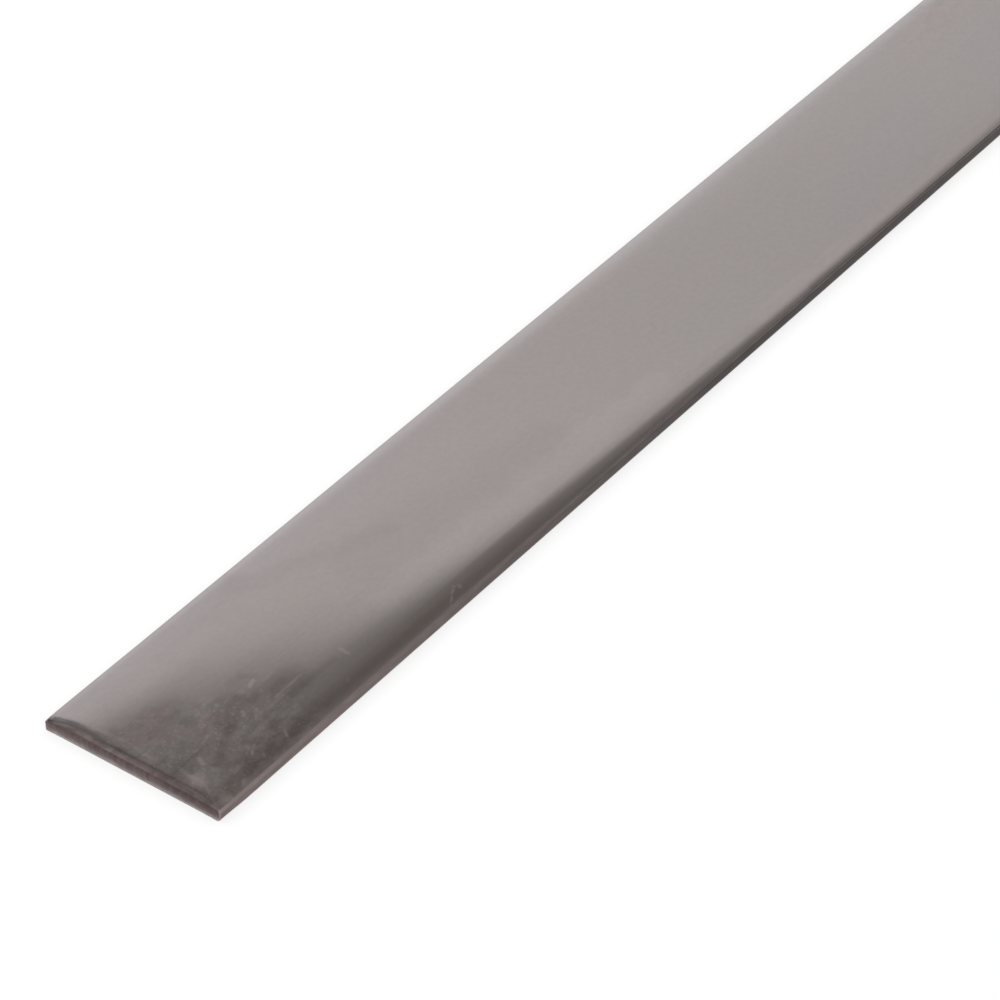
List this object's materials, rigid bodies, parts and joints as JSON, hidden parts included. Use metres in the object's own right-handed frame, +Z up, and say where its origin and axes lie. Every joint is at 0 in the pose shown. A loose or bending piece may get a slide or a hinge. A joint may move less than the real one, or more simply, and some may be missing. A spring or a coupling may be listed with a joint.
{
  "type": "metal flat bar",
  "caption": "Length of thin steel flat bar with softly rounded long edges and square sheared ends, for frames, brackets and straps.",
  "frame": {"origin": "centre of the face that the bar lies on", "axes": "+X across the width, +Y along the length, +Z up out of the upper face, the one with rounded shoulders"},
  "size_m": [0.03, 1, 0.002],
  "materials": {
    "flat_bar": "bright rolled mild steel with a faint grain along the bar, dull mottling and scuffs near the sheared end, and browner, rougher torn ends"
  },
  "bodies": {
    "root": {"flat_bar": "flat_bar"}
  },
  "joints": []
}
